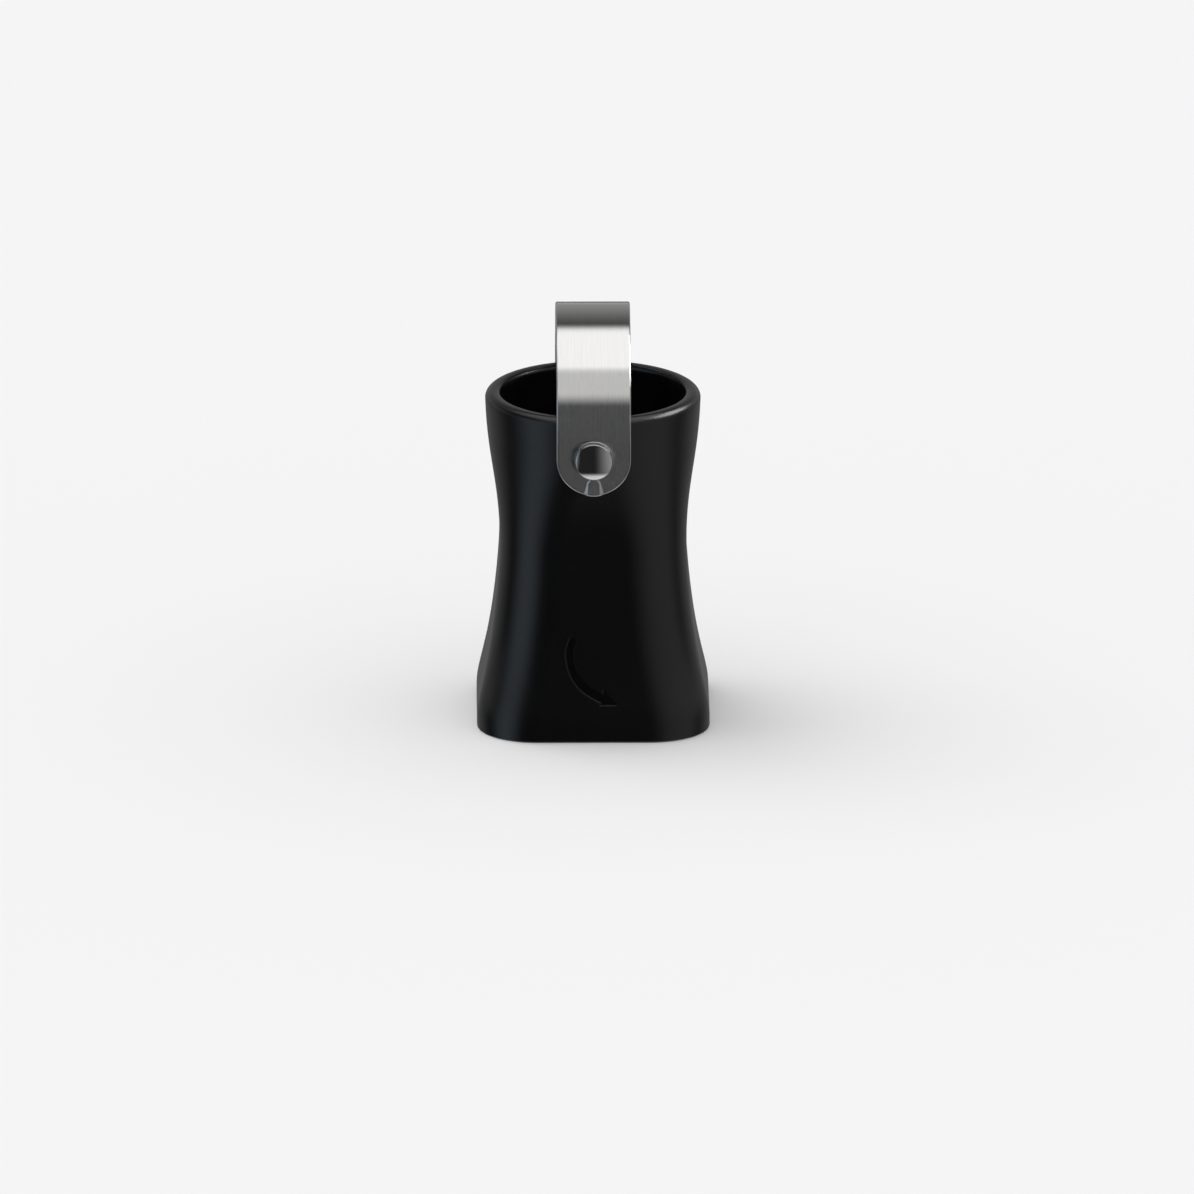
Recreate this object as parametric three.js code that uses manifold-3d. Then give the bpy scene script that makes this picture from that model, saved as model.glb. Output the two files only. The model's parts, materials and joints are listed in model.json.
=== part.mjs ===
// Champagne opener: a waisted sleeve with a square foot and a round mouth, a ribbed rubber ring inside it,
// and a steel strap over the mouth that swings on a rivet in front and one behind.
// Millimetres, +Z up. The foot of the sleeve stands on z = 0, its axis is Z, and the front rivet faces -Y.

import * as THREE from "three";
import { mergeVertices } from "three/addons/utils/BufferGeometryUtils.js";
import Module from "manifold-3d";

const wasm = await Module();
wasm.setup();

// Bores of the sleeve, from the neck passage up to the open mouth
const neckBoreRadius = 16.2;
const gripSeatDepth = 1.0;
const chamberStep = 1.2;
const gripSeatFloor = 34.0;
const gripSeatLength = 14.0;
const mouthLeadIn = 0.8;

// Walls and heights of the sleeve
const sleeveHeight = 66.7;
const waistHeight = 38.0;
const waistWall = 1.45;
const rimWall = 3.1;
const skinWall = 2.2;
const tubeWall = 1.6;
const footCavityWidth = 3.25;
const cavityHeight = 14.0;
const footFillet = 0.5;

// The section is a square with rounded corners up to the waist, and turns into a circle under the mouth
const cornerRadius = 12.0;
const squareSectionHeight = 36.0;
const roundSectionHeight = 60.0;

// Plate that closes the hollow foot
const basePlateThickness = 2.0;
const basePlateRecess = 0.5;
const basePlateLedge = 0.5;

// Rubber ring
const gripWall = 1.0;
const gripRibHeight = 0.75;
const gripRibTaper = 1.6;

// Strap
const strapWidth = 14.8;
const strapThickness = 1.0;
const strapLegClearance = 0.6;
const pivotDrop = 7.8;
const archHeight = 20.45;
const channelHalfWidth = 1.7;
const channelDepth = 0.6;

// Rivets, washers and the seats that carry them
const rivetHeadRadius = 3.8;
const rivetHeadSide = 1.1;
const rivetHeadCrown = 1.0;
const rivetShankRadius = 2.0;
const rivetTailRadius = 2.9;
const rivetTailThickness = 0.6;
const pivotWall = 2.6;
const washerRadius = 3.4;
const washerThickness = 0.5;
const backingRadius = 4.0;
const backingThickness = 0.5;
const seatMargin = 0.4;

// Ridge on the sleeve that the strap's channel stands over when the strap is upright
const ridgeHalfWidth = 0.8;
const ridgeLength = 2.6;
const ridgeRise = 1.5;
const ridgeRoot = 1.0;

// Clearances
const fitClearance = 0.15;
const runningClearance = 0.1;
const faceClearance = 0.05;
const ridgeClearance = 0.3;
const overrun = 2.0;
const weldDistance = 0.0001;

// Facets
const sleeveSegments = 64;
const flankSteps = 13;
const lipSteps = 7;
const filletSteps = 2;
const skinSteps = 3;
const gripRibs = 24;
const segmentsPerRib = 4;
const smallSegments = 28;
const archCurveSegments = 14;
const crownSteps = 4;

// Shares of the way from the waist to the foot, and from the waist to the lip: how far along, how far out
const lowerFlankShares = [[1, 1], [0.921, 0.989], [0.789, 0.793], [0.632, 0.522], [0.447, 0.283], [0.237, 0.098]];
const upperFlankShares = [[0, 0], [0.331, 0.228], [0.663, 0.737], [0.884, 0.947], [1, 1]];

const gripSeatRadius = neckBoreRadius + gripSeatDepth;
const waistRadius = gripSeatRadius + waistWall;
const chamberRadius = gripSeatRadius + chamberStep;
const rimRadius = chamberRadius + rimWall;
const lipRadius = rimWall / 2;
const lipHeight = sleeveHeight - lipRadius;
const tubeRadius = neckBoreRadius + tubeWall;
const footHalfWidth = tubeRadius + footCavityWidth + skinWall;
const footFlat = footHalfWidth - cornerRadius;
const plateSeatHeight = basePlateRecess + basePlateThickness + faceClearance;

const pivotHeight = sleeveHeight - pivotDrop;
const strapInner = rimRadius + strapLegClearance;
const strapOuter = strapInner + strapThickness;
const strapEndRadius = strapWidth / 2;
const archRise = washerRadius + fitClearance;
const washerSeat = strapInner - washerThickness - 2 * faceClearance;
const backingSeat = washerSeat - pivotWall;
const pocketRadius = backingRadius + fitClearance;
const seatRadius = pocketRadius + seatMargin;

// Distance of the sleeve's side from the axis, sampled from foot to lip
const lowerFlank = lowerFlankShares.map(([along, out]) => new THREE.Vector2(
  waistRadius + out * (footHalfWidth - waistRadius),
  waistHeight - along * waistHeight,
));
const upperFlank = upperFlankShares.map(([along, out]) => new THREE.Vector2(
  waistRadius + out * (rimRadius - waistRadius),
  waistHeight + along * (lipHeight - waistHeight),
));
const flankPoints = new THREE.SplineCurve([...lowerFlank, ...upperFlank]).getSpacedPoints(flankSteps);

function flankRadiusAt(height) {
  const next = flankPoints.findIndex((point) => point.y >= height);
  const above = flankPoints[Math.max(next, 1)];
  const below = flankPoints[Math.max(next, 1) - 1];
  return below.x + (above.x - below.x) * (height - below.y) / (above.y - below.y);
}

// Half the length of the flat on each side of the section
function flatAt(height) {
  const along = (height - squareSectionHeight) / (roundSectionHeight - squareSectionHeight);
  const share = Math.min(Math.max(along, 0), 1);
  return (flankRadiusAt(height) - cornerRadius) * (1 - share * share * (3 - 2 * share));
}

// Distance from the axis to a square with rounded corners, along a ray at the given angle
function squaredRadius(halfWidth, flat, angle) {
  const across = Math.max(Math.abs(Math.cos(angle)), Math.abs(Math.sin(angle)));
  const along = Math.min(Math.abs(Math.cos(angle)), Math.abs(Math.sin(angle)));
  if (halfWidth * along <= flat * across) return halfWidth / across;
  const corner = halfWidth - flat;
  return flat * (across + along) + Math.sqrt(corner ** 2 - (flat * (across - along)) ** 2);
}

// A profile point: distance from the axis, height, flat of a squared section, radius of a rib's crest
function at(radius, height, flat = 0, crest = radius) {
  return { radius, height, flat, crest };
}

function arcPoints(centreRadius, centreHeight, radius, startAngle, endAngle, steps, flat = 0) {
  const points = [];
  for (let step = 0; step <= steps; step++) {
    const angle = startAngle + (endAngle - startAngle) * step / steps;
    points.push(at(centreRadius + radius * Math.cos(angle), centreHeight + radius * Math.sin(angle), flat));
  }
  return points;
}

// Turns a profile about Z. It runs up on the outside, or from the axis round to the axis.
function turned(profile, segments) {
  const outline = profile.map((point) => new THREE.Vector2(point.radius, point.height));
  const geometry = new THREE.LatheGeometry(outline, segments);
  const places = geometry.attributes.position;
  for (let turn = 0; turn <= segments; turn++) {
    const angle = 2 * Math.PI * turn / segments;
    profile.forEach((point, row) => {
      const bare = turn % segmentsPerRib === 0 ? point.crest : point.radius;
      const radius = point.flat > 0 ? squaredRadius(bare, point.flat, angle) : bare;
      places.setXYZ(turn * profile.length + row, radius * Math.sin(angle), point.height, radius * Math.cos(angle));
    });
  }
  return geometry.rotateX(Math.PI / 2);
}

function closed(points) {
  return [...points, points[0]];
}

function ring(innerRadius, outerRadius, low, high) {
  return turned(closed([at(outerRadius, low), at(outerRadius, high), at(innerRadius, high), at(innerRadius, low)]),
    smallSegments);
}

function disc(radius, low, high) {
  return turned([at(0, low), at(radius, low), at(radius, high), at(0, high)], smallSegments);
}

// Distances along the pivot axis become places in front of or behind the sleeve
const sideTurns = { front: Math.PI / 2, rear: -Math.PI / 2 };

function onPivot(geometry, side) {
  return geometry.rotateX(sideTurns[side]).translate(0, 0, pivotHeight);
}

function solidOf(geometry) {
  geometry.deleteAttribute("normal");
  geometry.deleteAttribute("uv");
  const welded = mergeVertices(geometry, weldDistance);
  const corners = welded.index.array;
  const kept = [];
  for (let start = 0; start < corners.length; start += 3) {
    const [a, b, c] = corners.slice(start, start + 3);
    if (a !== b && b !== c && c !== a) kept.push(a, b, c);
  }
  return new wasm.Manifold(new wasm.Mesh({
    numProp: 3,
    vertProperties: welded.attributes.position.array,
    triVerts: new Uint32Array(kept),
  }));
}

function geometryOf(solid) {
  const mesh = solid.getMesh();
  const geometry = new THREE.BufferGeometry();
  geometry.setAttribute("position", new THREE.BufferAttribute(mesh.vertProperties, 3));
  geometry.setIndex(new THREE.BufferAttribute(mesh.triVerts, 1));
  geometry.computeVertexNormals();
  return geometry;
}

// Sleeve: outer skin, round lip, chamber under the mouth, seat of the rubber ring, bore and hollow foot
function sleeveProfile() {
  const lipCentre = rimRadius - lipRadius;
  const flank = flankPoints.filter((point) => point.y > 2 * footFillet);
  const seatTop = gripSeatFloor + gripSeatLength;
  const skin = [];
  for (let step = 0; step <= skinSteps; step++) {
    const height = cavityHeight + (plateSeatHeight - cavityHeight) * step / skinSteps;
    skin.push(at(flankRadiusAt(height) - skinWall, height, flatAt(height)));
  }
  return closed([
    ...arcPoints(footHalfWidth - footFillet, footFillet, footFillet, -Math.PI / 2, 0, filletSteps, footFlat),
    ...flank.slice(0, -1).map((point) => at(point.x, point.y, flatAt(point.y))),
    ...arcPoints(lipCentre, lipHeight, lipRadius, 0, Math.PI, lipSteps),
    at(chamberRadius, seatTop + chamberStep),
    at(gripSeatRadius, seatTop),
    at(gripSeatRadius, gripSeatFloor),
    at(neckBoreRadius, gripSeatFloor),
    at(neckBoreRadius, basePlateRecess + mouthLeadIn),
    at(neckBoreRadius + mouthLeadIn, basePlateRecess),
    at(tubeRadius, basePlateRecess),
    at(tubeRadius, cavityHeight),
    ...skin,
    at(footHalfWidth - skinWall + basePlateLedge, plateSeatHeight, footFlat),
    at(footHalfWidth - skinWall + basePlateLedge, 0, footFlat),
  ]);
}

function ridge(side) {
  const shoulder = strapInner - ridgeClearance - ridgeRise;
  const root = flankRadiusAt(pivotHeight - strapEndRadius) - ridgeRoot;
  const section = halfOval(ridgeHalfWidth, ridgeRise, shoulder - root);
  const top = ridgeLength + fitClearance - strapEndRadius;
  const geometry = alongLeg(section, shoulder, top, ridgeLength);
  return geometry.rotateZ(side === "front" ? 0 : Math.PI).translate(0, 0, pivotHeight);
}

function makeSleeve() {
  let sleeve = solidOf(turned(sleeveProfile(), sleeveSegments));
  for (const side of ["front", "rear"]) {
    sleeve = sleeve.add(solidOf(onPivot(disc(seatRadius, backingSeat - backingThickness, washerSeat), side)));
    sleeve = sleeve.add(solidOf(ridge(side)));
    sleeve = sleeve.subtract(solidOf(onPivot(disc(seatRadius, washerSeat, strapOuter), side)));
    const backingPocket = disc(pocketRadius, backingSeat - overrun, backingSeat);
    sleeve = sleeve.subtract(solidOf(onPivot(backingPocket, side)));
    const rivetHole = disc(rivetShankRadius + runningClearance, backingSeat - overrun, strapOuter);
    sleeve = sleeve.subtract(solidOf(onPivot(rivetHole, side)));
  }
  return sleeve;
}

function makeBasePlate() {
  const outer = footHalfWidth - skinWall + basePlateLedge - fitClearance;
  const inner = tubeRadius + fitClearance;
  const top = basePlateRecess + basePlateThickness;
  return solidOf(turned(closed([
    at(outer, basePlateRecess, footFlat),
    at(outer, top, footFlat),
    at(inner, top),
    at(inner, basePlateRecess),
  ]), sleeveSegments));
}

function makeCorkGrip() {
  const outer = gripSeatRadius - fitClearance;
  const root = outer - gripWall;
  const crest = root - gripRibHeight;
  const low = gripSeatFloor + faceClearance;
  const high = gripSeatFloor + gripSeatLength;
  return solidOf(turned(closed([
    at(outer, low),
    at(outer, high),
    at(root, high),
    at(root, high - gripRibTaper, 0, crest),
    at(root, low + gripRibTaper, 0, crest),
    at(root, low),
  ]), gripRibs * segmentsPerRib));
}

// Strap, drawn with the pivot axis at height zero
function strapSide() {
  const shape = new THREE.Shape();
  shape.moveTo(-strapOuter, -strapEndRadius - overrun);
  shape.lineTo(-strapInner, -strapEndRadius - overrun);
  shape.lineTo(-strapInner, archRise);
  shape.absellipse(0, archRise, strapInner, archHeight, Math.PI, 0, true, 0);
  shape.lineTo(strapInner, -strapEndRadius - overrun);
  shape.lineTo(strapOuter, -strapEndRadius - overrun);
  shape.lineTo(strapOuter, archRise);
  shape.absellipse(0, archRise, strapOuter, archHeight + strapThickness, 0, Math.PI, false, 0);
  const width = strapWidth + 2 * overrun;
  const geometry = new THREE.ExtrudeGeometry(shape, {
    depth: width,
    bevelEnabled: false,
    curveSegments: archCurveSegments,
  });
  const axes = new THREE.Matrix4().makeBasis(
    new THREE.Vector3(0, 1, 0),
    new THREE.Vector3(0, 0, 1),
    new THREE.Vector3(1, 0, 0),
  );
  return geometry.applyMatrix4(axes).translate(-width / 2, 0, 0);
}

function strapFront() {
  const top = archRise + archHeight + strapThickness + overrun;
  const shape = new THREE.Shape();
  shape.moveTo(strapEndRadius, 0);
  shape.lineTo(strapEndRadius, top);
  shape.lineTo(-strapEndRadius, top);
  shape.lineTo(-strapEndRadius, 0);
  shape.absarc(0, 0, strapEndRadius, Math.PI, 2 * Math.PI, false);
  const reach = strapOuter + channelDepth + overrun;
  const geometry = new THREE.ExtrudeGeometry(shape, {
    depth: 2 * reach,
    bevelEnabled: false,
    curveSegments: archCurveSegments,
  });
  return geometry.rotateX(Math.PI / 2).translate(0, reach, 0);
}

function halfOval(halfWidth, rise, root) {
  const shape = new THREE.Shape();
  shape.moveTo(-halfWidth, -root);
  shape.lineTo(halfWidth, -root);
  shape.lineTo(halfWidth, 0);
  shape.absellipse(0, 0, halfWidth, rise, 0, Math.PI, false, 0);
  return shape;
}

// Runs a section straight down the front leg: its own Y points out of the strap
function alongLeg(section, distance, top, length) {
  const geometry = new THREE.ExtrudeGeometry(section, {
    depth: length,
    bevelEnabled: false,
    curveSegments: crownSteps,
  });
  return geometry.rotateX(Math.PI).translate(0, -distance, top);
}

function makeStrap() {
  const outline = solidOf(strapFront());
  const top = -rivetHeadRadius - fitClearance;
  const length = strapEndRadius + top + overrun;
  const swelling = halfOval(channelHalfWidth, channelDepth, strapThickness / 2);
  const hollow = halfOval(channelHalfWidth - strapThickness / 2, channelDepth, strapThickness / 2);
  let strap = solidOf(strapSide());
  for (const turn of [0, Math.PI]) {
    strap = strap.add(solidOf(alongLeg(swelling, strapOuter, top, length).rotateZ(turn)));
    strap = strap.subtract(solidOf(alongLeg(hollow, strapInner, top, length).rotateZ(turn)));
  }
  strap = strap.intersect(outline);
  for (const side of ["front", "rear"]) {
    const hole = disc(rivetShankRadius + runningClearance, strapInner - overrun, strapOuter + overrun);
    strap = strap.subtract(solidOf(hole.rotateX(sideTurns[side])));
  }
  return strap;
}

// Rivet: domed head outside the strap, shank through strap, washer and wall, clinched tail inside
function makeRivet() {
  const under = strapOuter + faceClearance;
  const shoulder = under + rivetHeadSide;
  const tailTop = backingSeat - backingThickness - 2 * faceClearance;
  const crown = [];
  for (let step = 0; step <= crownSteps; step++) {
    const angle = Math.PI / 2 * step / crownSteps;
    crown.push(at(rivetHeadRadius * Math.cos(angle), shoulder + rivetHeadCrown * Math.sin(angle)));
  }
  crown[crownSteps] = at(0, shoulder + rivetHeadCrown);
  return solidOf(turned([
    at(0, tailTop - rivetTailThickness),
    at(rivetTailRadius, tailTop - rivetTailThickness),
    at(rivetTailRadius, tailTop),
    at(rivetShankRadius, tailTop),
    at(rivetShankRadius, under),
    at(rivetHeadRadius, under),
    ...crown,
  ], smallSegments));
}

function makeWasher() {
  const low = washerSeat + faceClearance;
  return solidOf(ring(rivetShankRadius + runningClearance, washerRadius, low, low + washerThickness));
}

function makeBacking() {
  const high = backingSeat - faceClearance;
  return solidOf(ring(rivetShankRadius + runningClearance, backingRadius, high - backingThickness, high));
}

const finishes = {
  softTouchBlack: new THREE.MeshStandardMaterial({ color: 0x16171a, roughness: 0.55, metalness: 0 }),
  plainBlack: new THREE.MeshStandardMaterial({ color: 0x1c1c1e, roughness: 0.7, metalness: 0 }),
  gripRubber: new THREE.MeshStandardMaterial({ color: 0x2a2b2d, roughness: 0.85, metalness: 0 }),
  brushedSteel: new THREE.MeshStandardMaterial({ color: 0xb9b6b0, roughness: 0.35, metalness: 1 }),
  polishedSteel: new THREE.MeshStandardMaterial({ color: 0xc9c9ca, roughness: 0.12, metalness: 1 }),
  blackNylon: new THREE.MeshStandardMaterial({ color: 0x202022, roughness: 0.5, metalness: 0 }),
};

function piece(name, solid, finish) {
  const mesh = new THREE.Mesh(geometryOf(solid), finishes[finish]);
  mesh.name = name;
  return mesh;
}

const group = new THREE.Group();
group.add(piece("grip_sleeve", makeSleeve(), "softTouchBlack"));
group.add(piece("base_plate", makeBasePlate(), "plainBlack"));
group.add(piece("cork_grip_ring", makeCorkGrip(), "gripRubber"));

const strap = piece("cork_strap", makeStrap(), "brushedSteel");
strap.position.z = pivotHeight;
group.add(strap);

for (const [side, turn] of Object.entries(sideTurns)) {
  const pivot = new THREE.Group();
  pivot.position.z = pivotHeight;
  pivot.rotation.x = turn;
  pivot.add(piece(`${side}_rivet`, makeRivet(), "polishedSteel"));
  pivot.add(piece(`${side}_strap_washer`, makeWasher(), "blackNylon"));
  pivot.add(piece(`${side}_backing_washer`, makeBacking(), "polishedSteel"));
  group.add(pivot);
}

export default group;
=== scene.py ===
"""Looks of the champagne opener: a soft-touch sleeve with a brushed steel strap on two rivets.

Lengths are in metres, written as millimetres times MM, in the frame of the solid model: +Z up,
the foot on z = 0, the front rivet towards -Y.
"""
import json
import math

import bmesh
import bpy
import numpy as np
from mathutils import Matrix, Vector


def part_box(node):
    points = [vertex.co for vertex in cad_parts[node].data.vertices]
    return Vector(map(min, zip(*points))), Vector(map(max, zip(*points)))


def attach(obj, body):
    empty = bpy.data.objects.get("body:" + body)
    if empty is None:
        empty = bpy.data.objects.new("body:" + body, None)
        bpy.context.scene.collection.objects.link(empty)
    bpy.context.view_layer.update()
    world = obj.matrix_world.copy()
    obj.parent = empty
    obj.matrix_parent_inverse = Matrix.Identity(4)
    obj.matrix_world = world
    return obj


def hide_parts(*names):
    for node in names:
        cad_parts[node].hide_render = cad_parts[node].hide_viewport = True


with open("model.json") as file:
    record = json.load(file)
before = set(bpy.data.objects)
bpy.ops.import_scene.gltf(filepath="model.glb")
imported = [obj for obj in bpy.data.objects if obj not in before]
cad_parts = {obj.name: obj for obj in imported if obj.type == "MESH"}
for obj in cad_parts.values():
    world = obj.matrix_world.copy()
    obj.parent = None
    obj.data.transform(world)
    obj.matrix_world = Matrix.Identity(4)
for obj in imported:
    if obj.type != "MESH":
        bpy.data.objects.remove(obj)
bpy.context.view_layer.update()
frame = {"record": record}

MM = 0.001

# Gap between pieces that lie on each other
CLEARANCE = 0.05 * MM

# Sleeve
FOOT_HALF_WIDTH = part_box("grip_sleeve")[1][0]
SLEEVE_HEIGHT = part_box("grip_sleeve")[1][2]
NECK_BORE_RADIUS = 16.2 * MM
GRIP_SEAT_RADIUS = 17.2 * MM
GRIP_SEAT_FLOOR = 34.0 * MM
GRIP_SEAT_TOP = 48.0 * MM
WAIST_RADIUS = 18.65 * MM
WAIST_HEIGHT = 38.0 * MM
CHAMBER_RADIUS = 18.4 * MM
CHAMBER_STEP = 1.2 * MM
RIM_RADIUS = 21.5 * MM
LIP_RADIUS = (RIM_RADIUS - CHAMBER_RADIUS) / 2
LIP_HEIGHT = SLEEVE_HEIGHT - LIP_RADIUS
TUBE_RADIUS = 17.8 * MM
SKIN_WALL = 2.2 * MM
SKIN_TOLERANCE = 0.3 * MM
CAVITY_HEIGHT = 14.0 * MM
MOUTH_LEAD_IN = 0.8 * MM
FOOT_FILLET = 0.5 * MM
CORNER_RADIUS = 12.0 * MM
SQUARE_SECTION_HEIGHT = 36.0 * MM
ROUND_SECTION_HEIGHT = 60.0 * MM

# Power that makes the inner half of the lip's section squarer than a circle, which 1 would be
LIP_INNER_SHAPE = 0.62

# Points of the flank: the share of the way from the waist to the foot or to the lip, and the share
# of the widening that is reached there
LOWER_FLANK_SHARES = (
    (1, 1), (0.921, 0.989), (0.789, 0.793), (0.632, 0.522), (0.447, 0.283), (0.237, 0.098))
UPPER_FLANK_SHARES = ((0, 0), (0.331, 0.228), (0.663, 0.737), (0.884, 0.947), (1, 1))

# Base plate
PLATE_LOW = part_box("base_plate")[0][2]
PLATE_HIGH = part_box("base_plate")[1][2]
PLATE_HALF_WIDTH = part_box("base_plate")[1][0]
PLATE_LEDGE = 0.5 * MM

# Strap
STRAP_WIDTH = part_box("cork_strap")[1][0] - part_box("cork_strap")[0][0]
STRAP_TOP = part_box("cork_strap")[1][2]
STRAP_INNER = 22.1 * MM
STRAP_THICKNESS = 1.0 * MM
PIVOT_HEIGHT = frame["record"]["behaviour"]["joints"][0]["pos_m"][2]
ARCH_FOOT = PIVOT_HEIGHT + 3.55 * MM
ARCH_HALF_WIDTH = STRAP_INNER + STRAP_THICKNESS / 2
ARCH_HEIGHT = STRAP_TOP - STRAP_THICKNESS / 2 - ARCH_FOOT

# Rivets and washers, as distances from the axis of the sleeve along the pivot
SHANK_RADIUS = 2.0 * MM
HOLE_RADIUS = 2.1 * MM
HEAD_RADIUS = 3.8 * MM
HEAD_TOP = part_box("rear_rivet")[1][1]
TAIL_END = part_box("rear_rivet")[0][1]
HEAD_UNDER = STRAP_INNER + STRAP_THICKNESS + CLEARANCE
WASHER_SEAT = 21.5 * MM
BACKING_SEAT = 18.9 * MM

# Arrow on the front of the sleeve that says which way to turn: places are (x, height)
ARROW_LINE = [(x * MM, z * MM) for x, z in (
    (-4.2, 20.3), (-4.8, 18.1), (-4.6, 15.7), (-3.85, 13.5), (-2.55, 11.6), (-0.9, 10.25),
    (1.2, 9.05))]
ARROW_HEAD = [(x * MM, z * MM) for x, z in ((1.93, 10.77), (1.23, 7.56), (4.72, 7.56))]
ARROW_HALF_WIDTH = 0.83 * MM
ARROW_DEPTH = 0.08 * MM
ARROW_EDGE = 0.13 * MM

# Half width, foot and top of the patch of the sleeve that is made finer for the arrow
ARROW_FRAME = (9.0 * MM, 4.5 * MM, 23.5 * MM)

# Camera: the photograph is 1194 pixels square, 5.0 of them to a millimetre at the sleeve's axis.
# Its angles are in degrees
PHOTO_SIDE = 1194
PIXELS_PER_MM = 5.0
PHOTO_AXIS_X = 592.85
PHOTO_FOOT_Y = 708.2
CAMERA_DISTANCE = 5.0
CAMERA_AZIMUTH = -0.5
CAMERA_ELEVATION = 17.3
SENSOR = 36.0

# Brightest light of the reflections. The others are shares of it, because a Mix node's share ends
# at 1
BRIGHTEST_LIGHT = 1.4


class Signal:
    """A socket of a shader. Python's operators on it add Math nodes."""

    def __init__(self, finish, socket):
        self.finish = finish
        self.socket = socket

    def maths(self, operation, *values):
        return self.finish.node("Math", {"operation": operation}, dict(enumerate(values)))

    def __add__(self, other):
        return self.maths("ADD", self, other)

    def __sub__(self, other):
        return self.maths("SUBTRACT", self, other)

    def __rsub__(self, other):
        return self.maths("SUBTRACT", other, self)

    def __mul__(self, other):
        return self.maths("MULTIPLY", self, other)

    __radd__ = __add__
    __rmul__ = __mul__

    def window(self, low, high):
        """0 below low, 1 above high, smooth between."""
        values = {"Value": self, "From Min": low, "From Max": high}
        return self.finish.node("MapRange", {"interpolation_type": "SMOOTHSTEP"}, values)


class Finish:
    """The nodes of a material, or of the world."""

    def __init__(self, owner):
        owner.use_nodes = True
        self.owner = owner
        self.nodes = owner.node_tree.nodes
        self.links = owner.node_tree.links
        self.nodes.clear()

    def node(self, kind, settings=None, sockets=None, output=0):
        """Adds a node, sets it, fills its sockets, and returns one of its outputs."""
        node = self.nodes.new("ShaderNode" + kind)
        for name, value in (settings or {}).items():
            setattr(node, name, value)
        for name, value in (sockets or {}).items():
            if isinstance(value, Signal):
                self.links.new(value.socket, node.inputs[name])
            else:
                node.inputs[name].default_value = value
        return Signal(self, node.outputs[output]) if node.outputs else None

    def mix(self, share, first, second, blend="MIX"):
        """Mixes two colours, each a tuple or a signal. A Mix node has them in sockets 6 and 7."""
        first, second = (
            (*tone, 1) if isinstance(tone, tuple) else tone for tone in (first, second))
        settings = {"data_type": "RGBA", "blend_type": blend}
        return self.node("Mix", settings, {0: share, 6: first, 7: second}, output=2)

    def place(self, scale=(1, 1, 1), source="Object"):
        bare = self.node("TexCoord", output=source)
        return self.node("Mapping", {}, {"Vector": bare, "Scale": scale})

    def noise(self, place, scale=1.0, detail=2.0, roughness=0.5):
        sockets = {"Vector": place, "Scale": scale, "Detail": detail, "Roughness": roughness}
        return self.node("TexNoise", {}, sockets)

    def bump(self, height, strength, distance):
        return self.node("Bump", {}, {"Height": height, "Strength": strength, "Distance": distance})

    def shader(self, **sockets):
        """A Principled shader. The names are those of its sockets, with _ for a space."""
        named = {name.replace("_", " "): value for name, value in sockets.items()}
        return self.node("BsdfPrincipled", {}, named)

    def surface(self, shader):
        self.node("OutputMaterial", {}, {"Surface": shader})
        return self.owner


def soft_touch_black():
    """Black soft-touch coat: a fine matte skin of uneven sheen, a little smoother in the arrow."""
    finish = Finish(bpy.data.materials.new("soft_touch_black"))
    place = finish.place()
    cloud = finish.noise(place, scale=60.0, detail=3.0)
    speckle = finish.noise(place, scale=5200.0, detail=1.0)
    engraving = finish.node("Attribute", {"attribute_name": "engraving"}, output="Fac")
    tone = finish.mix(cloud, (0.0017, 0.0018, 0.0022), (0.0024, 0.0026, 0.0031))
    return finish.surface(finish.shader(
        Base_Color=finish.mix(engraving, tone, (0.0009, 0.0009, 0.001)),
        Roughness=0.23 + 0.05 * cloud - 0.05 * engraving,
        Normal=finish.bump(speckle, strength=1.0, distance=0.022 * MM),
    ))


def plain_black():
    """Black moulded plastic of the base plate, with a spark-eroded texture."""
    finish = Finish(bpy.data.materials.new("plain_black"))
    place = finish.place()
    grain = finish.noise(place, scale=2600.0, detail=3.0, roughness=0.6)
    cloud = finish.noise(place, scale=90.0)
    return finish.surface(finish.shader(
        Base_Color=finish.mix(cloud, (0.0055, 0.0055, 0.006), (0.009, 0.009, 0.0095)),
        Roughness=0.5 + 0.12 * grain,
        Normal=finish.bump(grain, strength=0.45, distance=0.08 * MM),
        Specular_IOR_Level=0.4,
    ))


def grip_rubber():
    """Dark grey rubber with a dusty bloom on the ribs."""
    finish = Finish(bpy.data.materials.new("grip_rubber"))
    place = finish.place()
    grain = finish.noise(place, scale=3200.0)
    bloom = finish.noise(place, scale=240.0, detail=4.0, roughness=0.6).window(0.42, 0.72)
    return finish.surface(finish.shader(
        Base_Color=finish.mix(bloom, (0.017, 0.0175, 0.019), (0.034, 0.0345, 0.036)),
        Roughness=0.74 + 0.12 * bloom,
        Normal=finish.bump(grain, strength=0.35, distance=0.05 * MM),
        Specular_IOR_Level=0.35,
    ))


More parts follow.
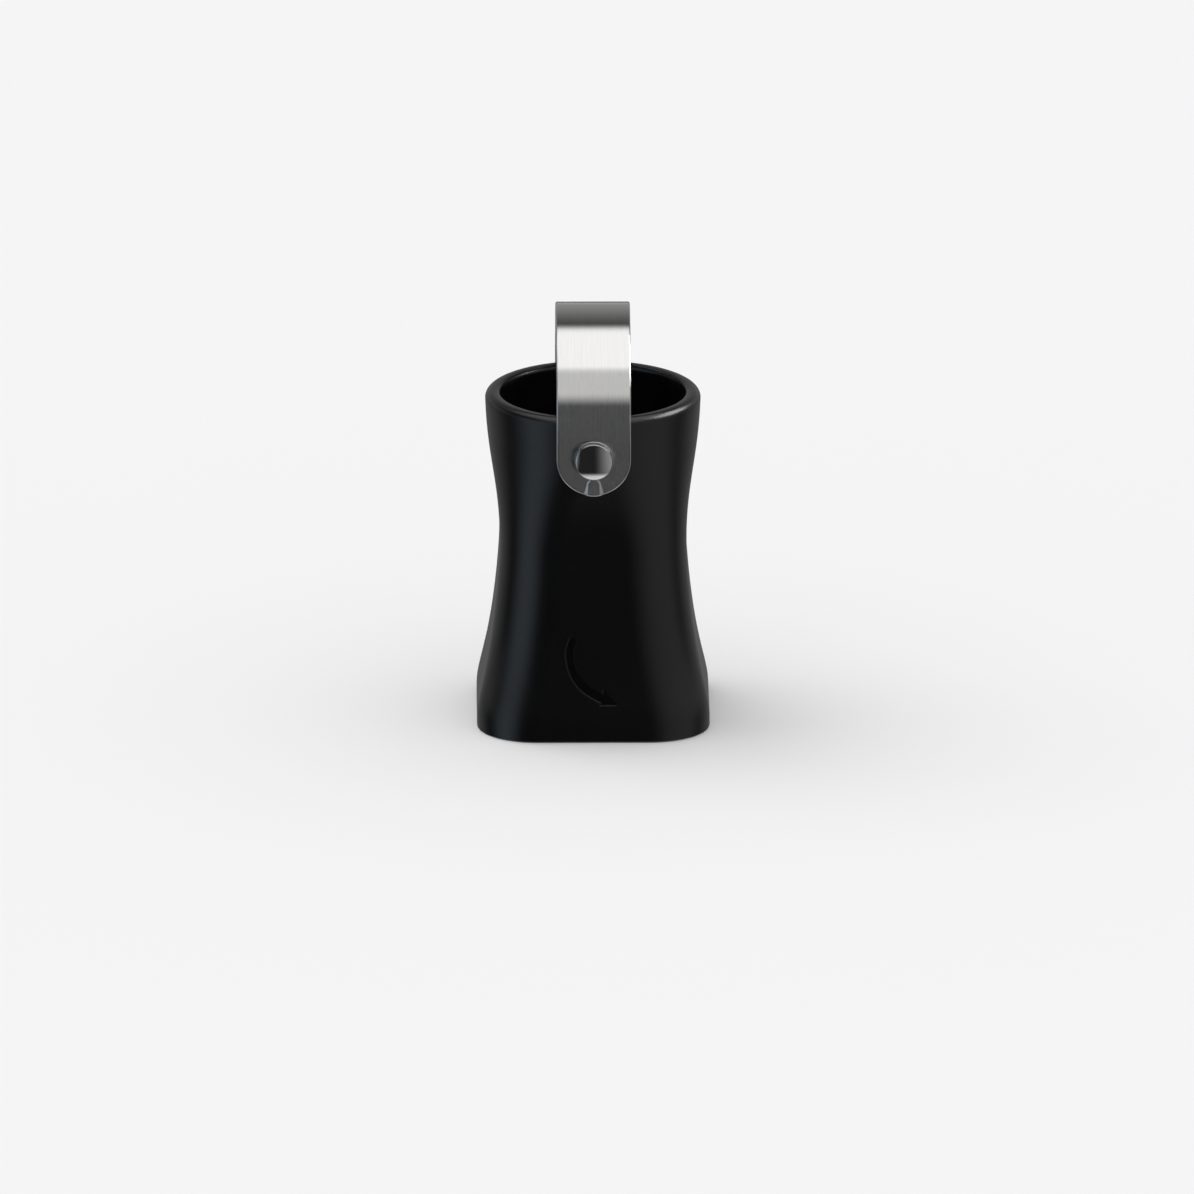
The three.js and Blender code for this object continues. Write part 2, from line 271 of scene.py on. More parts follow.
def brushed_steel():
    """Stainless steel brushed along the band, on a UV map in metres.

    Scratches too fine to see, 12 to a millimetre, tilt its face sideways, left and right.
    """
    finish = Finish(bpy.data.materials.new("brushed_steel"))
    grain = finish.noise(finish.place((5000.0, 500.0, 1.0), "UV"), detail=3.0, roughness=0.7)
    streak = finish.noise(finish.place((5000.0, 90.0, 1.0), "UV"), detail=3.0, roughness=0.6)
    cloud = finish.noise(finish.place(), scale=120.0)
    width = finish.node("SeparateXYZ", {}, {"Vector": finish.node("TexCoord", output="UV")})
    scratch = 12 / MM * width
    zigzag = scratch.maths("PINGPONG", scratch, 0.5)
    zigzag_tilt, grain_tilt = 1.44, 0.45
    mean_tilt = zigzag_tilt / 4 + grain_tilt / 2
    tilt = zigzag_tilt * zigzag + grain_tilt * grain - mean_tilt
    across = finish.node(
        "VectorTransform",
        {"vector_type": "VECTOR", "convert_from": "OBJECT", "convert_to": "WORLD"},
        {"Vector": (1, 0, 0)})
    lean = finish.node("VectorMath", {"operation": "SCALE"}, {0: across, "Scale": tilt})
    face = finish.node("NewGeometry", output="Normal")
    tilted = finish.node("VectorMath", {"operation": "ADD"}, {0: face, 1: lean})
    return finish.surface(finish.shader(
        Base_Color=finish.mix(streak, (0.57, 0.565, 0.56), (0.69, 0.685, 0.675)),
        Metallic=1.0,
        Roughness=0.04 + 0.05 * streak + 0.03 * cloud,
        Normal=finish.node("VectorMath", {"operation": "NORMALIZE"}, {0: tilted}),
    ))


def polished_steel():
    """Polished stainless steel, with the faint haze and hairlines of handling."""
    finish = Finish(bpy.data.materials.new("polished_steel"))
    haze = finish.noise(finish.place(), scale=500.0, detail=3.0, roughness=0.6)
    hairline = finish.noise(finish.place((4000.0, 400.0, 900.0))).window(0.6, 0.75)
    return finish.surface(finish.shader(
        Base_Color=finish.mix(haze, (0.62, 0.62, 0.62), (0.7, 0.7, 0.7)),
        Metallic=1.0,
        Roughness=0.05 + 0.05 * haze,
        Normal=finish.bump(hairline, strength=0.06, distance=0.008 * MM),
    ))


def black_nylon():
    """Black nylon of the washers."""
    finish = Finish(bpy.data.materials.new("black_nylon"))
    grain = finish.noise(finish.place(), scale=2000.0)
    return finish.surface(finish.shader(
        Base_Color=finish.mix(grain, (0.008, 0.008, 0.009), (0.015, 0.015, 0.016)),
        Roughness=0.42 + 0.1 * grain,
        Normal=finish.bump(grain, strength=0.2, distance=0.03 * MM),
    ))


def smooth_share(share):
    """0 up to 0, 1 from 1 on, smooth between."""
    share = min(max(share, 0.0), 1.0)
    return share * share * (3 - 2 * share)


def smooth_curve(places, values):
    """Natural cubic spline through the values; returns a function of the place."""
    places = np.array(places)
    values = np.array(values)
    steps = np.diff(places)
    slopes = np.diff(values) / steps
    count = len(places)
    bends = np.eye(count)
    loads = np.zeros(count)
    for i in range(1, count - 1):
        bends[i, i - 1:i + 2] = steps[i - 1], 2 * (steps[i - 1] + steps[i]), steps[i]
        loads[i] = 6 * (slopes[i] - slopes[i - 1])
    seconds = np.linalg.solve(bends, loads)

    def at(place):
        i = int(np.clip(np.searchsorted(places, place) - 1, 0, count - 2))
        step, left, right = steps[i], place - places[i], places[i + 1] - place
        cubic = (seconds[i] * right ** 3 + seconds[i + 1] * left ** 3) / (6 * step)
        low = values[i] / step - seconds[i] * step / 6
        high = values[i + 1] / step - seconds[i + 1] * step / 6
        return float(cubic + low * right + high * left)

    return at


lower_flank = [
    (WAIST_HEIGHT * (1 - along), WAIST_RADIUS + out * (FOOT_HALF_WIDTH - WAIST_RADIUS))
    for along, out in LOWER_FLANK_SHARES]
upper_flank = [
    (WAIST_HEIGHT + along * (LIP_HEIGHT - WAIST_HEIGHT),
     WAIST_RADIUS + out * (RIM_RADIUS - WAIST_RADIUS))
    for along, out in UPPER_FLANK_SHARES]
flank_curve = smooth_curve(*zip(*lower_flank, *upper_flank))


def flank_radius(height):
    """Half the sleeve's width. The curve alone would swell a little past the foot's."""
    return min(flank_curve(height), FOOT_HALF_WIDTH)


def flat_at(height):
    """Half the length of the flat on each side of the sleeve's section."""
    rounding = (height - SQUARE_SECTION_HEIGHT) / (ROUND_SECTION_HEIGHT - SQUARE_SECTION_HEIGHT)
    return (flank_radius(height) - CORNER_RADIUS) * (1 - smooth_share(rounding))


def squared(x, y, half_width, flat):
    """The point on the ray through x, y that lies on a square with rounded corners."""
    radius = math.hypot(x, y)
    across, along = max(abs(x), abs(y)) / radius, min(abs(x), abs(y)) / radius
    if half_width * along <= flat * across:
        reach = half_width / across
    else:
        corner = half_width - flat
        reach = flat * (across + along) + math.sqrt(corner ** 2 - (flat * (across - along)) ** 2)
    return x * reach / radius, y * reach / radius


def filleted(corners, steps=5):
    """Outline through the corners (radius, height, fillet), with an arc at each that has one."""
    longest_share = 0.49
    points = []
    for i, (radius, height, fillet) in enumerate(corners):
        corner = Vector((radius, height))
        if not fillet:
            points.append(corner)
            continue
        before = Vector(corners[i - 1][:2]) - corner
        after = Vector(corners[(i + 1) % len(corners)][:2]) - corner
        longest = before.length * longest_share, after.length * longest_share
        before.normalize()
        after.normalize()
        half = before.angle(after) / 2
        reach = min(fillet / math.tan(half), *longest)
        fillet = reach * math.tan(half)
        centre = corner + (before + after).normalized() * fillet / math.sin(half)
        start, end = corner + before * reach - centre, corner + after * reach - centre
        turn = start.angle_signed(end)
        for step in range(steps + 1):
            points.append(centre + Matrix.Rotation(-turn * step / steps, 2) @ start)
    return points


def turned(points, steps, open_ended=False):
    """Turns an outline of (radius, height) about Z. An open-ended one starts and ends on Z."""
    mesh = bmesh.new()
    verts = [mesh.verts.new((x, 0, z)) for x, z in points]
    edges = [mesh.edges.new(pair) for pair in zip(verts, verts[1:])]
    if not open_ended:
        edges.append(mesh.edges.new((verts[-1], verts[0])))
    bmesh.ops.spin(
        mesh, geom=verts + edges, cent=(0, 0, 0), axis=(0, 0, 1), dvec=(0, 0, 0),
        angle=2 * math.pi, steps=steps, use_merge=True, use_duplicate=False,
    )
    bmesh.ops.remove_doubles(mesh, verts=mesh.verts, dist=0.0005 * MM)
    bmesh.ops.recalc_face_normals(mesh, faces=mesh.faces)
    return mesh


def loose_object(mesh, name="cutter"):
    """Makes a bmesh an object of the scene."""
    data = bpy.data.meshes.new(name)
    mesh.to_mesh(data)
    mesh.free()
    thing = bpy.data.objects.new(name, data)
    bpy.context.scene.collection.objects.link(thing)
    return thing


def piece(name, mesh, slot, body, sharp=40.0):
    """Makes a bmesh an object that stands for the node of the same name."""
    for face in mesh.faces:
        face.smooth = True
    for edge in mesh.edges:
        edge.smooth = len(edge.link_faces) == 2 and edge.calc_face_angle() < math.radians(sharp)
    thing = loose_object(mesh, name + "_finished")
    thing.data.materials.append(materials[slot])
    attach(thing, body)
    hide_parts(name)
    return thing


def joined(meshes):
    whole = bmesh.new()
    for mesh in meshes:
        part = bpy.data.meshes.new("part")
        mesh.to_mesh(part)
        mesh.free()
        whole.from_mesh(part)
        bpy.data.meshes.remove(part)
    return whole


def combine(thing, operation, tool):
    """Applies a boolean to the thing's mesh and removes the tool."""
    modifier = thing.modifiers.new("combine", "BOOLEAN")
    modifier.operation = operation
    modifier.solver = "EXACT"
    modifier.object = tool
    evaluated = thing.evaluated_get(bpy.context.evaluated_depsgraph_get())
    done = bpy.data.meshes.new_from_object(evaluated)
    thing.modifiers.clear()
    old = thing.data
    thing.data = done
    bpy.data.meshes.remove(old)
    bpy.data.objects.remove(tool)


def on_pivot(mesh, front):
    """Turns a mesh made about Z onto the pivot, at the front or the back.

    Its heights become distances from the axis of the sleeve.
    """
    turn = Matrix.Rotation(math.pi / 2 if front else -math.pi / 2, 4, "X")
    place = Matrix.Translation((0, 0, PIVOT_HEIGHT)) @ turn
    bmesh.ops.transform(mesh, matrix=place, verts=mesh.verts)
    return mesh


def to_segment(point, start, end):
    """Distance of a point from the line between two others."""
    along = end - start
    share = min(max((point - start).dot(along) / along.length_squared, 0.0), 1.0)
    return (point - start - along * share).length


def arrow_line():
    heights = smooth_curve(range(len(ARROW_LINE)), [z for x, z in ARROW_LINE])
    sides = smooth_curve(range(len(ARROW_LINE)), [x for x, z in ARROW_LINE])
    stops = np.linspace(0, len(ARROW_LINE) - 1, 31)
    return [Vector((sides(stop), heights(stop))) for stop in stops]


def arrow_share(x, height, line, head):
    """1 on the floor of the arrow, 0 outside it, smooth across its edge."""
    point = Vector((x, height))
    shaft = min(to_segment(point, start, end) for start, end in zip(line, line[1:]))
    rims = [(head[i], head[(i + 1) % 3]) for i in range(3)]
    tip = min(to_segment(point, start, end) for start, end in rims)
    turns = [(end - start).cross(point - start) for start, end in rims]
    if all(turn > 0 for turn in turns) or all(turn < 0 for turn in turns):
        tip = -tip
    return smooth_share(0.5 - min(shaft - ARROW_HALF_WIDTH, tip) / (2 * ARROW_EDGE))


def sleeve_outline():
    """Section of the sleeve: up its flank, over the lip, down the inside and back to the foot."""
    flank_steps = 84
    flank = []
    for step in range(1, flank_steps):
        height = LIP_HEIGHT * step / flank_steps
        flank.append((flank_radius(height), height, 0))
    lip_steps = 24
    lip = []
    for step in range(lip_steps + 1):
        turn = math.pi * step / lip_steps
        out, up = math.cos(turn), math.sin(turn)
        if out < 0:
            out, up = -abs(out) ** LIP_INNER_SHAPE, up ** LIP_INNER_SHAPE
        lip.append((RIM_RADIUS - LIP_RADIUS + LIP_RADIUS * out, LIP_HEIGHT + LIP_RADIUS * up, 0))
    plate_seat = PLATE_HIGH + CLEARANCE
    skin = []
    for share in (0, 0.25, 0.5, 0.75, 1):
        height = CAVITY_HEIGHT + (plate_seat - CAVITY_HEIGHT) * share
        skin.append((flank_radius(height) - SKIN_WALL, height, 0))
    ledge = FOOT_HALF_WIDTH - SKIN_WALL + PLATE_LEDGE
    chamber_floor = GRIP_SEAT_TOP + CHAMBER_STEP
    inside = [
        (CHAMBER_RADIUS, chamber_floor + 8 * MM, 0),
        (CHAMBER_RADIUS, chamber_floor, 0.9 * MM),
        (GRIP_SEAT_RADIUS, GRIP_SEAT_TOP, 0.3 * MM),
        (GRIP_SEAT_RADIUS, GRIP_SEAT_FLOOR, 0.1 * MM),
        (NECK_BORE_RADIUS, GRIP_SEAT_FLOOR, 0.3 * MM),
        (NECK_BORE_RADIUS, PLATE_LOW + MOUTH_LEAD_IN, 0.5 * MM),
        (NECK_BORE_RADIUS + MOUTH_LEAD_IN, PLATE_LOW, 0.2 * MM),
        (TUBE_RADIUS, PLATE_LOW, 0.2 * MM),
        (TUBE_RADIUS, CAVITY_HEIGHT, 0.3 * MM),
        *skin,
        (ledge, plate_seat, 0),
        (ledge, 0, 0.2 * MM),
    ]
    return filleted([(FOOT_HALF_WIDTH, 0, FOOT_FILLET), *flank, *lip, *inside])


def pivot_seat(front):
    """Flat seat for a strap washer, raised on the sleeve."""
    radius, root = 4.55 * MM, 18.6 * MM
    seat = filleted([
        (0, root, 0), (radius, root, 0), (radius, WASHER_SEAT, 0.3 * MM), (0, WASHER_SEAT, 0)])
    return on_pivot(turned(seat, steps=72, open_ended=True), front)


def pivot_ridge(front):
    """Ridge that the strap's channel stands over, a long low swelling on the sleeve."""
    half_sizes = (0.8 * MM, 2.6 * MM, 1.6 * MM)
    centre_out, centre_below = 19.2 * MM, 5.95 * MM
    ridge = bmesh.new()
    bmesh.ops.create_uvsphere(ridge, u_segments=40, v_segments=24, radius=1)
    bmesh.ops.scale(ridge, vec=half_sizes, verts=ridge.verts)
    side = -1 if front else 1
    centre = (0, side * centre_out, PIVOT_HEIGHT - centre_below)
    bmesh.ops.translate(ridge, vec=centre, verts=ridge.verts)
    return ridge


def pivot_pocket(front):
    """Room for a rivet's shank through the wall, and for its backing washer on the inside."""
    radius, inner_end, outer_end = 4.15 * MM, 16.9 * MM, 23.0 * MM
    pocket = [
        (0, inner_end), (radius, inner_end), (radius, BACKING_SEAT), (HOLE_RADIUS, BACKING_SEAT),
        (HOLE_RADIUS, outer_end), (0, outer_end)]
    return on_pivot(turned(pocket, steps=72, open_ended=True), front)


def on_flank(place):
    return abs(math.hypot(place.x, place.y) - flank_radius(place.z)) < SKIN_TOLERANCE


def in_arrow_frame(place):
    half_width, low, high = ARROW_FRAME
    return on_flank(place) and place.y < 0 and abs(place.x) < half_width and low < place.z < high


def make_sleeve():
    """Turns the sleeve round, makes its foot square, engraves the arrow and cuts in the pivots."""
    mesh = turned(sleeve_outline(), steps=192)
    patch = [face for face in mesh.faces if in_arrow_frame(face.calc_center_median())]
    patch_edges = list({edge for face in patch for edge in face.edges})
    bmesh.ops.subdivide_edges(mesh, edges=patch_edges, cuts=6, use_grid_fill=True)
    line, head = arrow_line(), [Vector(point) for point in ARROW_HEAD]
    engraving = mesh.verts.layers.float.new("engraving")
    inside_radius = TUBE_RADIUS + SKIN_TOLERANCE
    lip_start = LIP_HEIGHT - 1 * MM
    for vert in mesh.verts:
        x, y, z = vert.co
        half_width = math.hypot(x, y)
        if half_width < inside_radius or z > lip_start:
            continue
        if z > FOOT_FILLET * 2 and on_flank(vert.co):
            half_width = flank_radius(z)
        x, y = squared(x, y, half_width, flat_at(z))
        if in_arrow_frame(vert.co):
            vert[engraving] = arrow_share(x, z, line, head)
            y += ARROW_DEPTH * vert[engraving]
        vert.co = (x, y, z)
    sleeve = piece("grip_sleeve", mesh, "soft_touch_black", "sleeve")
    seats = [make(front) for make in (pivot_seat, pivot_ridge) for front in (True, False)]
    pockets = [pivot_pocket(front) for front in (True, False)]
    combine(sleeve, "UNION", loose_object(joined(seats)))
    combine(sleeve, "DIFFERENCE", loose_object(joined(pockets)))


def make_base_plate():
    """Plate that closes the hollow foot around the tube."""
    hole = TUBE_RADIUS + 0.15 * MM
    under_edge, upper_edge = 0.25 * MM, 0.2 * MM
    corners = [
        (PLATE_HALF_WIDTH, PLATE_LOW, under_edge), (PLATE_HALF_WIDTH, PLATE_HIGH, upper_edge),
        (hole, PLATE_HIGH, upper_edge), (hole, PLATE_LOW, under_edge)]
    mesh = turned(filleted(corners), steps=160)
    for vert in mesh.verts:
        x, y, z = vert.co
        radius = math.hypot(x, y)
        if radius > (PLATE_HALF_WIDTH + TUBE_RADIUS) / 2:
            vert.co = (*squared(x, y, radius, FOOT_HALF_WIDTH - CORNER_RADIUS), z)
    piece("base_plate", mesh, "plain_black", "sleeve")


def make_cork_grip_ring():
    """Rubber ring with rounded ribs on its inside that run out towards both ends."""
    ribs = 24
    rib_height = 0.75 * MM
    rib_sharpness = 1.6
    taper = 1.8 * MM
    outer = GRIP_SEAT_RADIUS - 0.15 * MM
    root = outer - 1.0 * MM
    low, high = GRIP_SEAT_FLOOR + CLEARANCE, GRIP_SEAT_TOP
    inner_steps = 18
    inner = [
        (root, high + (low - high) * step / inner_steps, 0) for step in range(1, inner_steps)]
    corners = [
        (outer, low, 0.15 * MM), (outer, high, 0.25 * MM), (root, high, 0.3 * MM), *inner,
        (root, low, 0.3 * MM)]
    mesh = turned(filleted(corners), steps=ribs * 12)
    for vert in mesh.verts:
        x, y, z = vert.co
        radius = math.hypot(x, y)
        if radius > root + 0.3 * MM:
            continue
        wave = 0.5 + 0.5 * math.cos(ribs * math.atan2(y, x))
        ends = smooth_share((z - low) / taper) * smooth_share((high - z) / taper)
        reach = radius - rib_height * wave ** rib_sharpness * ends
        vert.co = (x * reach / radius, y * reach / radius, z)
    piece("cork_grip_ring", mesh, "grip_rubber", "sleeve")


# The strap's arch is half an ellipse: turns from its crown, and the lengths along it up to each
arch_turns = np.linspace(0, math.pi / 2, 721)
arch_speeds = np.hypot(ARCH_HALF_WIDTH * np.cos(arch_turns), ARCH_HEIGHT * np.sin(arch_turns))
arch_steps = (arch_speeds[1:] + arch_speeds[:-1]) / 2 * np.diff(arch_turns)
arch_lengths = np.concatenate(([0], np.cumsum(arch_steps)))


def on_strap(x, along, out):
    """Place of a point of the flat strap once it is bent.

    along counts from the crown, out from the middle of the strap's thickness.
    """
    side = math.copysign(1, along)
    along = abs(along)
    if along > arch_lengths[-1]:
        return x, side * (ARCH_HALF_WIDTH + out), ARCH_FOOT + arch_lengths[-1] - along
    turn = np.interp(along, arch_lengths, arch_turns)
    y, z = ARCH_HALF_WIDTH * math.sin(turn), ARCH_HEIGHT * math.cos(turn)
    away = Vector((ARCH_HEIGHT * math.sin(turn), ARCH_HALF_WIDTH * math.cos(turn)))
    away = away.normalized() * out
    return x, side * (y + away.x), ARCH_FOOT + z + away.y


def strap_blank():
    """Half of the flat strap as a sheet, its crown's middle at the origin and its end at -Y."""
    end_radius = STRAP_WIDTH / 2
    segments = 240
    blank = bmesh.new()
    hole, outline = (
        bmesh.ops.create_circle(blank, cap_ends=False, radius=radius, segments=segments)["verts"]
        for radius in (HOLE_RADIUS, end_radius))
    for vert in outline:
        if vert.co.y > 0:
            vert.co *= end_radius / max(abs(vert.co.x), abs(vert.co.y))
    bmesh.ops.bridge_loops(blank, edges=blank.edges[:])
    hole = set(hole)
    spokes = [edge for edge in blank.edges if len(hole.intersection(edge.verts)) == 1]
    square_end = end_radius - 0.001 * MM
    top = [edge for edge in blank.edges if all(vert.co.y > square_end for vert in edge.verts)]
    bmesh.ops.subdivide_edges(blank, edges=spokes, cuts=25, use_grid_fill=True)
    half_length = ARCH_FOOT - PIVOT_HEIGHT + arch_lengths[-1]
    rows = 80
    for _ in range(rows):
        made = bmesh.ops.extrude_edge_only(blank, edges=top)["geom"]
        moved = {vert for vert in made if isinstance(vert, bmesh.types.BMVert)}
        step = (0, (half_length - end_radius) / rows, 0)
        bmesh.ops.translate(blank, vec=step, verts=list(moved))
        top = [
            edge for edge in made
            if isinstance(edge, bmesh.types.BMEdge) and moved.issuperset(edge.verts)]
    bmesh.ops.translate(blank, vec=(0, -half_length, 0), verts=blank.verts)
    return blank, half_length


def channel_height(x, below):
    """Height of the pressed channel so far below the pivot. It flares to the strap's end."""
    depth, start, flare, crown = 0.6 * MM, 5.25 * MM, 2.1 * MM, 1.2 * MM
    spread = min(max((below - start) / flare, 0.0), 1.0)
    flank = (0.22 + 0.68 * spread) * MM
    rise = depth * (0.35 + 0.65 * spread)
    distance = math.hypot(x, min(below - start, 0.0))
    return rise * smooth_share((crown + flank - distance) / flank)


def make_cork_strap():
    """Makes the strap flat, with its holes, edges and brushing, and bends it over the mouth."""
    mesh, half_length = strap_blank()
    merge_distance = 0.001 * MM
    everything = mesh.verts[:] + mesh.edges[:] + mesh.faces[:]
    bmesh.ops.mirror(
        mesh, geom=everything, matrix=Matrix.Identity(4), merge_dist=merge_distance, axis="Y")
    bmesh.ops.remove_doubles(mesh, verts=mesh.verts, dist=merge_distance)
    bmesh.ops.recalc_face_normals(mesh, faces=mesh.faces)
    bmesh.ops.solidify(mesh, geom=mesh.faces[:], thickness=STRAP_THICKNESS)
    heights = [vert.co.z for vert in mesh.verts]
    middle = (max(heights) + min(heights)) / 2
    bmesh.ops.translate(mesh, vec=(0, 0, -middle), verts=mesh.verts)
    bmesh.ops.recalc_face_normals(mesh, faces=mesh.faces)
    rims = [edge for edge in mesh.edges if edge.calc_face_angle() > math.radians(60)]
    bmesh.ops.bevel(
        mesh, geom=rims, offset=0.33 * MM, segments=5, profile=0.5, affect="EDGES", material=-1)
    grain = mesh.loops.layers.uv.new("grain")
    for face in mesh.faces:
        for loop in face.loops:
            loop[grain].uv = loop.vert.co.xy
    for vert in mesh.verts:
        x, along, out = vert.co
        vert.co = on_strap(x, along, out + channel_height(x, abs(along) - half_length))
    bmesh.ops.recalc_face_normals(mesh, faces=mesh.faces)
    piece("cork_strap", mesh, "brushed_steel", "strap", sharp=50.0)


def make_rivet(name, front):
    """Low dome on a round head, set back from the head's edge, with a clinched tail inside."""
    step_radius, dome_radius = 3.62 * MM, 3.6 * MM
    ledge, dome_foot = HEAD_UNDER + 1.2 * MM, HEAD_TOP - 0.68 * MM
    tail = TAIL_END + 0.6 * MM
    head = [
        (SHANK_RADIUS, tail, 0), (SHANK_RADIUS, HEAD_UNDER, 0),
        (HEAD_RADIUS - 0.1 * MM, HEAD_UNDER, 0), (HEAD_RADIUS, HEAD_UNDER + 0.12 * MM, 0.06 * MM),
        (HEAD_RADIUS, ledge, 0.03 * MM), (step_radius, ledge, 0.03 * MM),
        (dome_radius, dome_foot, 0.05 * MM)]
    crown = HEAD_TOP - dome_foot
    ball = (dome_radius ** 2 + crown ** 2) / (2 * crown)
    dome = []
    dome_steps = 20
    for step in range(1, dome_steps):
        radius = dome_radius * (1 - step / dome_steps)
        dome.append((radius, HEAD_TOP - ball + math.sqrt(ball ** 2 - radius ** 2), 0))
    clinch = [
        (0, TAIL_END + 0.25 * MM, 0), (0.9 * MM, TAIL_END + 0.1 * MM, 0.3 * MM),
        (1.3 * MM, TAIL_END, 0.2 * MM), (2.75 * MM, TAIL_END, 0.25 * MM),
        (2.9 * MM, tail, 0.1 * MM)]
    points = filleted([*clinch, *head, *dome, (0, HEAD_TOP, 0)])
    mesh = on_pivot(turned(points, steps=120, open_ended=True), front)
    piece(name, mesh, "polished_steel", "sleeve", sharp=50.0)


def make_washer(name, radius, low, high, slot, front):
    edge = 0.12 * MM
    corners = [
        (radius, low, edge), (radius, high, edge), (HOLE_RADIUS, high, edge),
        (HOLE_RADIUS, low, edge)]
    mesh = on_pivot(turned(filleted(corners, steps=3), steps=96), front)
    piece(name, mesh, slot, "sleeve")


def make_pivots():
    thickness = 0.5 * MM
    low = WASHER_SEAT + CLEARANCE
    high = BACKING_SEAT - CLEARANCE
    for side, front in (("front", True), ("rear", False)):
        make_rivet(f"{side}_rivet", front)
        make_washer(
            f"{side}_strap_washer", 3.4 * MM, low, low + thickness, "black_nylon", front)
        make_washer(
            f"{side}_backing_washer", 4.0 * MM, high - thickness, high, "polished_steel", front)


def make_floor():
    mesh = bmesh.new()
    bmesh.ops.create_circle(mesh, cap_ends=True, radius=6.0, segments=96)
    floor = loose_object(mesh, "floor")
    finish = Finish(bpy.data.materials.new("pale_floor"))
    shader = finish.node("BsdfDiffuse", {}, {"Color": (0.88, 0.88, 0.88, 1)})
    floor.data.materials.append(finish.surface(shader))
    floor.visible_glossy = False


def towards(azimuth, elevation):
    """Direction from the object, in degrees. Azimuth 0 is in front, 90 to the right."""
    azimuth, elevation = math.radians(azimuth), math.radians(elevation)
    return Vector((
        math.sin(azimuth) * math.cos(elevation),
        -math.cos(azimuth) * math.cos(elevation),
        math.sin(elevation),
    ))


def make_camera():
    data = bpy.data.cameras.new("camera")
    data.sensor_width = SENSOR
    frame_width = PHOTO_SIDE / PIXELS_PER_MM * MM
    data.lens = SENSOR * CAMERA_DISTANCE / frame_width
    camera = bpy.data.objects.new("camera", data)
    bpy.context.scene.collection.objects.link(camera)
    bpy.context.scene.camera = camera
    aside = (PHOTO_SIDE / 2 - PHOTO_AXIS_X) / PIXELS_PER_MM * MM
    foot_drop = (PHOTO_FOOT_Y - PHOTO_SIDE / 2) / PIXELS_PER_MM * MM
    aim = Vector((aside, 0, foot_drop / math.cos(math.radians(CAMERA_ELEVATION))))
    back = towards(CAMERA_AZIMUTH, CAMERA_ELEVATION)
    camera.location = aim + back * CAMERA_DISTANCE
    camera.rotation_euler = (-back).to_track_quat("-Z", "Y").to_euler()


def make_right_lamp():
    """A softbox on the right that faces the sleeve and shows only in reflections."""
    azimuth, elevation, distance = 104, 35, 1.0
    width, height = 0.65, 0.46
    radiance = 7.4
    light = bpy.data.lights.new("right_lamp", "AREA")
    light.shape = "RECTANGLE"
    light.size, light.size_y = width, height
    light.energy = radiance * math.pi * width * height
    light.color = (0.98, 0.99, 1.03)
    lamp = bpy.data.objects.new("right_lamp", light)
    away = towards(azimuth, elevation)
    lamp.location = Vector((0, 0, SLEEVE_HEIGHT / 2)) + away * distance
    lamp.rotation_euler = away.to_track_quat("Z", "Y").to_euler()
    lamp.visible_camera = False
    lamp.visible_diffuse = False
    bpy.context.scene.collection.objects.link(lamp)


def make_key_sun():
    """A broad sun from the upper left, a little behind, that shows in no reflection."""
    sun = bpy.data.lights.new("key", "SUN")
    sun.energy = 0.7
    sun.angle = math.radians(50)
    lamp = bpy.data.objects.new("key", sun)
    lamp.rotation_euler = Vector((-0.55, 0.25, 0.8)).to_track_quat("Z", "Y").to_euler()
    lamp.visible_glossy = False
    bpy.context.scene.collection.objects.link(lamp)


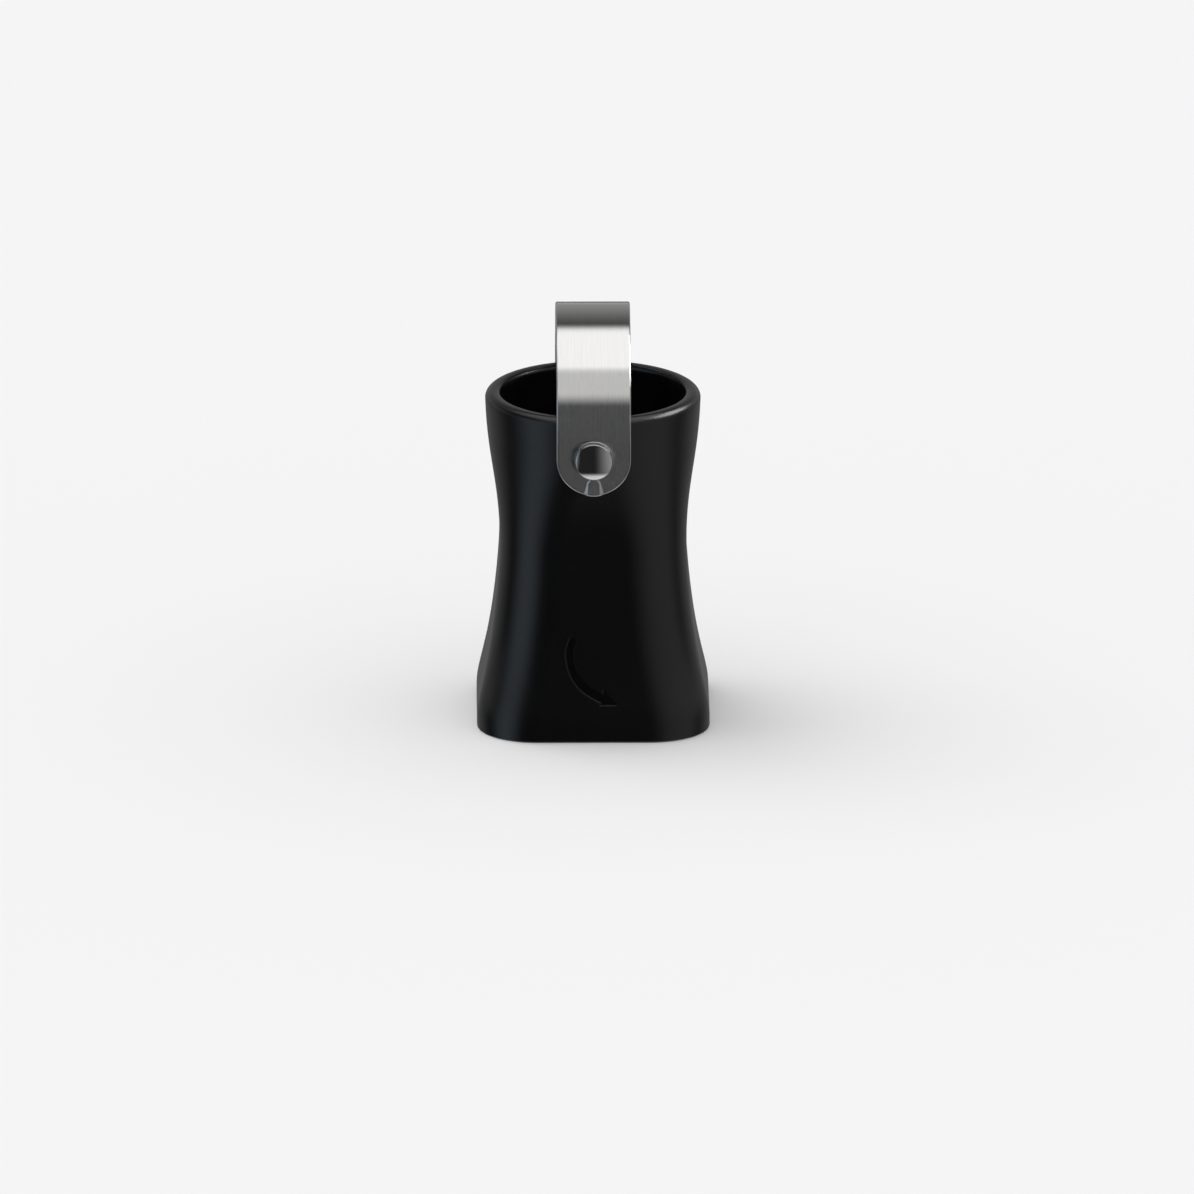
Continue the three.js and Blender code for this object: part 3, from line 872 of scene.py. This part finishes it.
def reflected_lights(finish):
    """The lights that the reflections show, by direction, as shares of the brightest one.

    Each window is a light's soft edge. turn goes over the top, from 0 degrees at the front through
    90 overhead to 180 behind.
    """
    direction = finish.node("TexCoord", output="Generated")
    side, back, up = (
        finish.node("VectorMath", {"operation": "DOT_PRODUCT"}, {0: direction, 1: axis}, "Value")
        for axis in ((1, 0, 0), (0, 1, 0), (0, 0, 1)))
    turn = math.degrees(1) * up.maths("ARCTAN2", up, 0 - back)
    sideways, left = side.maths("ABSOLUTE", side), 0 - side
    front_part = 1 - turn.window(116, 128)
    overhead = 0.7 * turn.window(66, 72) * front_part
    front_wall = 0.7 * turn.window(25, 42) * front_part
    ahead = (overhead + front_wall) * (1 - sideways.window(0.55, 0.8))
    rear_glow = 0.3 * turn.window(110, 170)
    rear_wall = 0.2 * back.window(0.2, 0.6) * (1 - up.window(-0.1, 0.2))
    right_wall = 0.35 * side.window(0, 0.8) * (1 - back.window(-0.2, 0.4))
    left_softbox = (
        0.6 * left.window(0.5, 0.8) * (1 - back.window(-0.35, 0.15)) * (1 - up.window(0.3, 0.5)))
    table = 0.8 * (1 - up.window(-0.8, -0.65))
    everywhere = 0.02
    lights = (
        (ahead + (rear_glow + rear_wall) + right_wall + table + everywhere, (1, 1, 1)),
        (left_softbox, (0.85, 1, 1.15)),
    )
    white, cool = (
        finish.mix(light * (1 / BRIGHTEST_LIGHT), (0, 0, 0), tint) for light, tint in lights)
    return finish.mix(1.0, white, cool, "ADD")


def light_studio():
    """Pale surroundings for the eye and the floor, and a plain soft studio in the reflections."""
    world = bpy.data.worlds.new("studio")
    bpy.context.scene.world = world
    world.cycles.sampling_method = "NONE"
    finish = Finish(world)
    camera_ray, glossy_ray = (
        finish.node("LightPath", output=name) for name in ("Is Camera Ray", "Is Glossy Ray"))
    pale = finish.mix(camera_ray, (0.86, 0.86, 0.86), (0.922, 0.922, 0.922))
    plain = finish.node("Background", {}, {"Color": pale, "Strength": 1.0})
    lights = reflected_lights(finish)
    reflected = finish.node("Background", {}, {"Color": lights, "Strength": BRIGHTEST_LIGHT})
    both = finish.node("MixShader", {}, {0: glossy_ray, 1: plain, 2: reflected})
    finish.node("OutputWorld", {}, {"Surface": both})
    make_right_lamp()
    make_key_sun()


materials = {make.__name__: make() for make in (
    soft_touch_black, plain_black, grip_rubber, brushed_steel, polished_steel, black_nylon)}

make_camera()
make_sleeve()
make_base_plate()
make_cork_grip_ring()
make_cork_strap()
make_pivots()
make_floor()
light_studio()

bpy.context.scene.view_settings.view_transform = "Standard"
